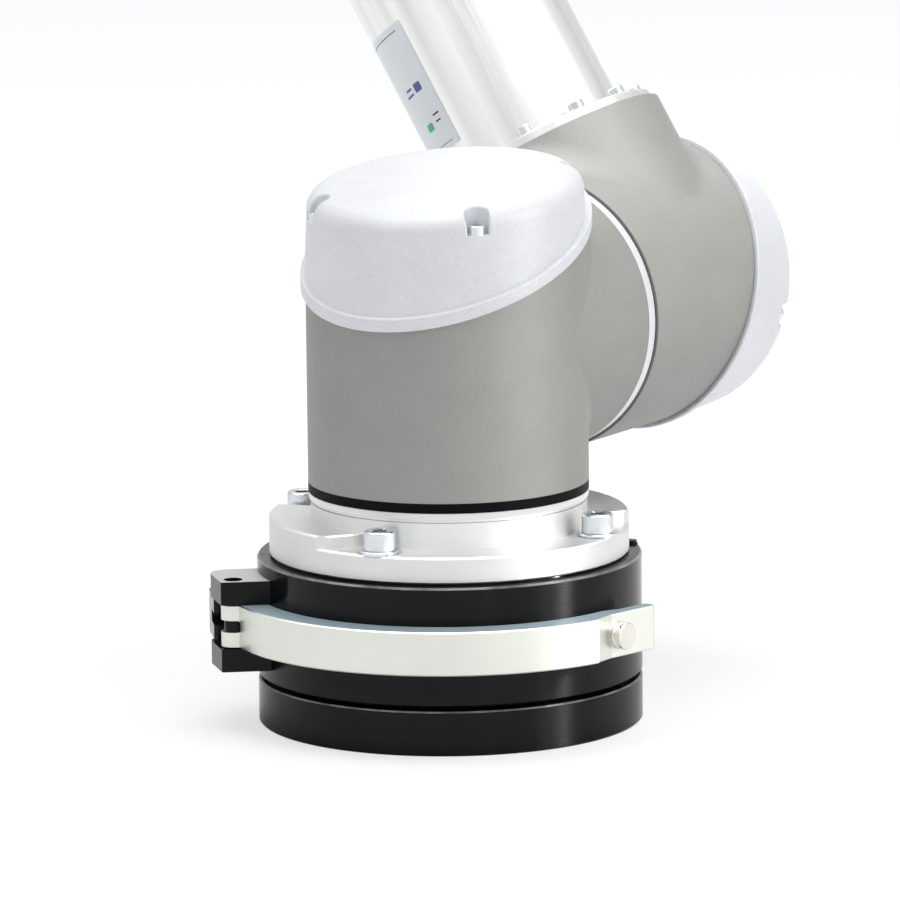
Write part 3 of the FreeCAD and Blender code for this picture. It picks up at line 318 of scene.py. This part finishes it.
def make_materials():
    """Materials by the CAD's material slot, and by node where a node has its own."""
    origin = Vector((0, 0, 0))
    tool_low, tool_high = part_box("tool_flange")
    tool_centre = (tool_low + tool_high) / 2
    steel = {"Metallic": 1.0}
    found = {
        "grey_housing": speckled_paint(
            "grey_paint", rgba(0.290, 0.288, 0.277), rgba(0.375, 0.372, 0.358),
            grain=0.45 * MM, depth=0.03 * MM, Metallic=0.55, Specular_IOR_Level=0.40),
        "silver_cover": speckled_paint(
            "silver_paint", rgba(0.66, 0.68, 0.71), rgba(0.83, 0.85, 0.89),
            grain=0.40 * MM, depth=0.024 * MM, flake=0.35, Metallic=0.09, Coat_Weight=0.05,
            Coat_Roughness=0.35),
        "white_trim": grained(
            "white_plastic", rgba(0.84, 0.86, 0.88), rgba(0.92, 0.94, 0.96),
            grain=0.6 * MM, depth=0.006 * MM, rough=(0.18, 0.28), Metallic=0.0, IOR=1.46),
        "black_seal": rubber("black_rubber", (0.42, 0.58), 0.06),
        "machined_flange": turned(
            "turned_aluminium", origin, Z_AXIS, rgba(0.67, 0.67, 0.67),
            rgba(0.765, 0.765, 0.755), groove=0.35 * MM, depth=0.006 * MM, rough=(0.42, 0.54),
            **steel),
        "black_anodised": upright_streaks(turned(
            "black_anodised", origin, Z_AXIS, rgba(0.0035, 0.0035, 0.004),
            rgba(0.0065, 0.0065, 0.0075), groove=0.5 * MM, depth=0.001 * MM,
            rough=(0.13, 0.17), shape=painted_edge_and_top_highlights, Metallic=0.0, Specular_IOR_Level=0.16,
            Anisotropic=0.97)),
        "champagne_lever": turned(
            "clear_anodised", origin, Z_AXIS, rgba(0.69, 0.705, 0.658),
            rgba(0.765, 0.78, 0.728), groove=0.25 * MM, depth=0.003 * MM, rough=(0.28, 0.38),
            shape=painted_sky_reflection_top, **steel),
        "bright_steel": grained(
            "zinc_steel", rgba(0.62, 0.66, 0.70), rgba(0.82, 0.85, 0.87), grain=0.5 * MM,
            depth=0.008 * MM, rough=(0.16, 0.32), **steel),
        "nickel": grained(
            "nickel_plate", rgba(0.76, 0.73, 0.67), rgba(0.86, 0.83, 0.77), grain=0.8 * MM,
            depth=0.003 * MM, rough=(0.10, 0.20), **steel),
        "drive_parts": grained(
            "drive_steel", rgba(0.38, 0.38, 0.40), rgba(0.55, 0.55, 0.57), grain=0.6 * MM,
            depth=0.010 * MM, rough=(0.28, 0.42), **steel),
        "tool_flange": turned(
            "tool_flange_metal", tool_centre, Z_AXIS, rgba(0.78, 0.78, 0.78),
            rgba(0.92, 0.92, 0.91), groove=0.3 * MM, depth=0.008 * MM, rough=(0.22, 0.34),
            **steel),
    }
    found["black_steel"] = found["black_anodised"]
    found["upper_arm_seal"] = found["elbow_seal"] = rubber("dull_rubber", (0.5, 0.6), 0.0)
    for name, axis in (("upper_arm", UPPER_AXIS), ("forearm", FOREARM_AXIS)):
        found[f"{name}_tube"] = drawn(
            f"{name}_tube_metal", axis, rgba(0.74, 0.74, 0.735), rgba(0.92, 0.92, 0.915),
            line=0.5 * MM, band=9 * MM, depth=0.002 * MM, rough=(0.30, 0.40), **steel)
    return found


def paint_nodes(materials):
    """Gives each CAD node the material of its slot, or its own where it has one."""
    slots = {part["node"]: part["material_slot"] for part in frame["record"]["subparts"]}
    for name, obj in NODES.items():
        key = name.replace("_tube_flanges", "_tube")
        material = materials.get(key) or materials[slots[name]]
        obj.data.materials.clear()
        obj.data.materials.append(material)


# ---------------------------------------------------------------- pieces
def new_piece(name, mesh, material, body):
    obj = bpy.data.objects.new(name, mesh)
    SCENE.collection.objects.link(obj)
    mesh.materials.append(material)
    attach(obj, body)
    return obj


def islands(node):
    """The boxes, (lowest, highest), of a CAD node's separate solids."""
    mesh = bmesh.new()
    mesh.from_mesh(NODES[node].data)
    bmesh.ops.remove_doubles(mesh, verts=mesh.verts, dist=0.001 * MM)
    unseen, found = set(mesh.verts), []
    while unseen:
        group, edge = [], [unseen.pop()]
        while edge:
            vert = edge.pop()
            group.append(vert.co.copy())
            near = {e.other_vert(vert) for e in vert.link_edges} & unseen
            unseen -= near
            edge.extend(near)
        low = Vector([min(p[i] for p in group) for i in range(3)])
        high = Vector([max(p[i] for p in group) for i in range(3)])
        found.append((low, high))
    mesh.free()
    return found


def ring_of(mesh, count, radius_at, height, centre):
    """A closed row of vertices about a vertical axis. radius_at maps an index to a radius."""
    row = []
    for i in range(count):
        a = 2 * math.pi * i / count
        r = radius_at(i)
        row.append(mesh.verts.new(centre + Vector((r * math.cos(a), r * math.sin(a), height))))
    return row


def skin(mesh, rows):
    """Quads between neighbouring rows of equal length."""
    for low, high in zip(rows, rows[1:]):
        for i in range(len(low)):
            j = (i + 1) % len(low)
            mesh.faces.new((low[i], low[j], high[j], high[i]))


def add_socket_screw(mesh, centre, shank_end):
    """A socket screw with a knurled head; centre is on the head's underside, the shank below."""
    count = SCREW_TEETH * 4
    wave = [0.0, -0.35, -1.0, -0.35]

    def knurled(inset, depth):
        return lambda i: SCREW_HEAD_R - inset + KNURL * depth * wave[i % 4]

    def hexagon(i):
        a = (2 * math.pi * i / count) % (math.pi / 3) - math.pi / 6
        return SOCKET_R * math.cos(math.pi / 6) / math.cos(a)

    top = SCREW_HEAD_H
    floor = top - SOCKET_DEPTH
    rows = [ring_of(mesh, count, radius_at, height, centre) for radius_at, height in (
        (lambda i: SCREW_SHANK_R - 0.5 * MM, shank_end),
        (lambda i: SCREW_SHANK_R, shank_end + 0.5 * MM),
        (lambda i: SCREW_SHANK_R, 0.0),
        (knurled(0.25 * MM, 0.0), 0.0),
        (knurled(0.0, 0.0), 0.25 * MM),
        (knurled(0.0, 1.0), 0.9 * MM),
        (knurled(0.0, 1.0), top - SCREW_CHAMFER - 0.5 * MM),
        (knurled(0.0, 0.0), top - SCREW_CHAMFER),
        (knurled(0.35 * MM, 0.0), top - 0.2 * MM),
        (knurled(SCREW_CHAMFER, 0.0), top),
        (lambda i: SOCKET_R + 0.35 * MM, top),
        (hexagon, top - 0.35 * MM),
        (hexagon, floor))]
    skin(mesh, rows)
    for row, height, up in ((rows[0], shank_end, False),
                            (rows[-1], floor - SOCKET_TIP, True)):
        tip = mesh.verts.new(centre + Vector((0, 0, height)))
        for i in range(count):
            pair = (row[i], row[(i + 1) % count])
            mesh.faces.new((*pair, tip) if up else (*reversed(pair), tip))


def make_flange_screws(material):
    """The four M8 screws of the base flange, with the knurl that the plain solids don't have."""
    mesh = bmesh.new()
    for low, high in islands("flange_screws"):
        centre = Vector(((low.x + high.x) / 2, (low.y + high.y) / 2, high.z - SCREW_HEAD_H))
        add_socket_screw(mesh, centre, low.z - centre.z)
    data = bpy.data.meshes.new("knurled_flange_screws")
    bmesh.ops.recalc_face_normals(mesh, faces=mesh.faces)
    mesh.to_mesh(data)
    mesh.free()
    for face in data.polygons:
        face.use_smooth = True
    data.set_sharp_from_angle(angle=math.radians(40))
    screws = new_piece("knurled_flange_screws", data, material, "base")
    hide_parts("flange_screws")


def tube_point(along, around, radius):
    """A point on the upper arm's tube; around is in degrees from +X."""
    a = math.radians(around)
    x_axis = Vector((1, 0, 0))
    outward = x_axis * math.cos(a) + UPPER_AXIS.cross(x_axis) * math.sin(a)
    return UPPER_AT + UPPER_AXIS * along + outward * radius


def make_patch(name, along, around, corner, lift, thick, material):
    """A thin sheet with round corners, wrapped on the upper arm's tube."""
    rows, columns = 28, 24
    mesh = bmesh.new()
    arc = math.degrees(corner / TUBE_R)
    grid = []
    ends = [corner * (1 - math.cos(math.pi / 2 * i / 5)) for i in range(6)]
    inner = [corner + (along[1] - along[0] - 2 * corner) * i / rows for i in range(1, rows)]
    steps = ends + inner + [along[1] - along[0] - e for e in reversed(ends)]
    for step in steps:
        edge = min(step, along[1] - along[0] - step)
        short = 0.0
        if edge < corner:
            short = arc * (1 - math.sqrt(max(0.0, 1 - (1 - edge / corner) ** 2)))
        low, high = around[0] + short, around[1] - short
        grid.append([mesh.verts.new(tube_point(along[0] + step, low + (high - low) * c / columns,
                                               TUBE_R + lift + thick))
                     for c in range(columns + 1)])
    for a, b in zip(grid, grid[1:]):
        for c in range(columns):
            mesh.faces.new((a[c], b[c], b[c + 1], a[c + 1]))
    bmesh.ops.recalc_face_normals(mesh, faces=mesh.faces)
    centre_face = mesh.faces[:][len(mesh.faces) // 2]
    outward = centre_face.calc_center_median() - UPPER_AT
    outward -= UPPER_AXIS * outward.dot(UPPER_AXIS)
    if centre_face.normal.dot(outward) < 0:
        bmesh.ops.reverse_faces(mesh, faces=mesh.faces)
    data = bpy.data.meshes.new(name)
    mesh.to_mesh(data)
    mesh.free()
    for face in data.polygons:
        face.use_smooth = True
    patch = new_piece(name, data, material, "upper_arm")
    solid = patch.modifiers.new("thickness", "SOLIDIFY")
    solid.thickness, solid.offset = thick, -1.0
    return patch


def make_label():
    """A pale blank label with a few plain printed bars."""
    film = grained("label_film", rgba(0.84, 0.88, 0.92), rgba(0.88, 0.92, 0.96), grain=1.2 * MM,
                   depth=0.002 * MM, rough=(0.34, 0.42), Metallic=0.0)
    inks = {ink: grained(f"{ink}_ink", dark, light, grain=0.4 * MM, depth=0.002 * MM,
                         rough=(0.35, 0.45))
            for ink, dark, light in (("dark", rgba(0.03, 0.03, 0.035), rgba(0.06, 0.06, 0.07)),
                                     ("blue", rgba(0.05, 0.08, 0.32), rgba(0.09, 0.13, 0.42)),
                                     ("green", rgba(0.05, 0.42, 0.16), rgba(0.09, 0.52, 0.22)))}
    make_patch("tube_label", LABEL_ALONG, LABEL_AROUND, LABEL_CORNER, LABEL_LIFT, LABEL_THICK,
               film)
    for i, (ink, low, high, left, right) in enumerate(LABEL_MARKS):
        along = (LABEL_ALONG[0] + low * MM, LABEL_ALONG[0] + high * MM)
        corner = min(0.25 * (along[1] - along[0]), MARK_CORNER)
        make_patch(f"label_mark_{i + 1}", along, (left, right), corner, LABEL_THICK + MARK_LIFT,
                   MARK_THICK, inks[ink])


# ---------------------------------------------------------------- room
def link(obj):
    SCENE.collection.objects.link(obj)
    return obj


def softbox(name, at, size, power, aim_height=0.2, tint=(1.0, 1.0, 1.0)):
    """A rectangular light, placed in the view's frame and aimed at the first joint's axis."""
    light = bpy.data.lights.new(name, "AREA")
    light.shape = "RECTANGLE"
    light.size, light.size_y = size
    light.energy = power
    light.color = tint
    obj = link(bpy.data.objects.new(name, light))
    obj.location = VIEW_TURN @ Vector(at)
    aim = Vector((0, 0, aim_height)) - obj.location
    obj.rotation_mode = "QUATERNION"
    obj.rotation_quaternion = aim.to_track_quat("-Z", "Y")
    obj.visible_camera = False
    if name in LIT_ALONE:
        lights_only(obj, LIT_ALONE[name])
    return obj


def make_room():
    """White behind and above the object, dark before it, as in a product photographer's tent."""
    world = bpy.data.worlds.new("tent")
    SCENE.world = world
    world.use_nodes = True
    tree = world.node_tree
    tree.nodes.clear()

    def add(kind, **settings):
        node = tree.nodes.new(kind)
        for key, value in settings.items():
            setattr(node, key, value)
        return node

    def join(a, b):
        tree.links.new(a, b)

    def spread(value, span, to_low, to_high):
        node = add("ShaderNodeMapRange", interpolation_type="SMOOTHSTEP")
        for socket, number in (("From Min", span[0]), ("From Max", span[1]),
                               ("To Min", to_low), ("To Max", to_high)):
            node.inputs[socket].default_value = number
        join(value, node.inputs["Value"])
        return node.outputs["Result"]

    def maths(operation, a, b):
        node = add("ShaderNodeMath", operation=operation)
        join(a, node.inputs[0])
        if isinstance(b, float):
            node.inputs[1].default_value = b
        else:
            join(b, node.inputs[1])
        return node.outputs["Value"]

    where = add("ShaderNodeTexCoord").outputs["Generated"]
    away = add("ShaderNodeVectorMath", operation="DOT_PRODUCT")
    join(where, away.inputs[0])
    away.inputs[1].default_value = VIEW_TURN @ ROOM_BACK
    split = add("ShaderNodeSeparateXYZ")
    join(where, split.inputs[0])
    up = split.outputs["Z"]
    path = add("ShaderNodeLightPath")
    glossy = path.outputs["Is Glossy Ray"]
    back = spread(away.outputs["Value"], BACK_FADE, ROOM_DARK, ROOM_WHITE)
    radiance = maths("MAXIMUM", back, maths("MULTIPLY", glossy, FRONT_GLOSS))
    zenith = maths("MULTIPLY", glossy, spread(up, ZENITH_FADE, 0.0, ZENITH_GLOSS))
    radiance = maths("MAXIMUM", radiance, zenith)
    radiance = maths("MAXIMUM", radiance, spread(up, TOP_FADE, 0.0, ROOM_TOP))
    lit = add("ShaderNodeBackground")
    join(radiance, lit.inputs["Strength"])
    plain = add("ShaderNodeBackground")
    plain.inputs["Strength"].default_value = BACKDROP
    pick = add("ShaderNodeMixShader")
    join(path.outputs["Is Camera Ray"], pick.inputs[0])
    join(lit.outputs[0], pick.inputs[1])
    join(plain.outputs[0], pick.inputs[2])
    join(pick.outputs[0], add("ShaderNodeOutputWorld").inputs["Surface"])


def floor_board():
    """White board. The camera sees it paler than the object does, so its shadows stay soft."""
    board = Shader("floor_board", Roughness=0.55, Specular_IOR_Level=0.2)
    grain = board.ramp(board.noise(250.0, detail=3.0), 0.3, 0.7, 0.0, 0.1)
    white = rgba(FLOOR_WHITE, FLOOR_WHITE, FLOOR_WHITE)
    board.feed("Base Color", board.mix(grain, white, rgba(0.8, 0.8, 0.82)))
    seen = board.add("ShaderNodeBsdfDiffuse",
                     [("Color", rgba(FLOOR_SEEN, FLOOR_SEEN, FLOOR_SEEN))])
    glow = board.add("ShaderNodeEmission",
                     [("Color", rgba(0.96, 0.98, 1.0)), ("Strength", FLOOR_GLOW)])
    both = board.add("ShaderNodeAddShader", [(0, seen.outputs[0]), (1, glow.outputs[0])])
    path = board.add("ShaderNodeLightPath")
    pick = board.add("ShaderNodeMixShader", [(0, path.outputs["Is Camera Ray"]),
                                             (1, board.surface.outputs[0]), (2, both.outputs[0])])
    board.tree.links.new(pick.outputs[0], board.tree.nodes["Material Output"].inputs["Surface"])
    return board.material


def make_floor():
    mesh = bmesh.new()
    bmesh.ops.create_grid(mesh, x_segments=8, y_segments=8, size=FLOOR_SIZE / 2)
    data = bpy.data.meshes.new("floor")
    mesh.to_mesh(data)
    mesh.free()
    floor = link(bpy.data.objects.new("floor", data))
    data.materials.append(floor_board())


def lights_only(light, names):
    """Keeps a light for the named CAD nodes."""
    group = bpy.data.collections.new(f"lit_by_{light.name}")
    for name in names:
        group.objects.link(NODES[name])
    light.light_linking.receiver_collection = group


def make_lights():
    for name, at, size, power in SOFTBOXES:
        softbox(name, at, size, power)
    for name, at, size, power, aim_height in STRIPS:
        strip = softbox(name, at, size, power, aim_height, STRIP_TINT)
        strip.visible_diffuse = False


def make_camera():
    data = bpy.data.cameras.new("camera")
    data.lens, data.sensor_width = LENS, SENSOR
    data.clip_start, data.clip_end = 0.1, 200.0
    camera = link(bpy.data.objects.new("camera", data))
    turn = (Matrix.Rotation(math.radians(CAMERA_HEADING), 4, "Z")
            @ Matrix.Rotation(math.radians(90 + CAMERA_PITCH), 4, "X")
            @ Matrix.Rotation(math.radians(CAMERA_ROLL), 4, "Z"))
    camera.matrix_world = Matrix.Translation(CAMERA_AT) @ turn
    SCENE.camera = camera


make_camera()
make_room()
make_floor()
make_lights()
MATERIALS = make_materials()
paint_nodes(MATERIALS)
make_flange_screws(MATERIALS["bright_steel"])
make_label()
SCENE.view_settings.view_transform = "Standard"
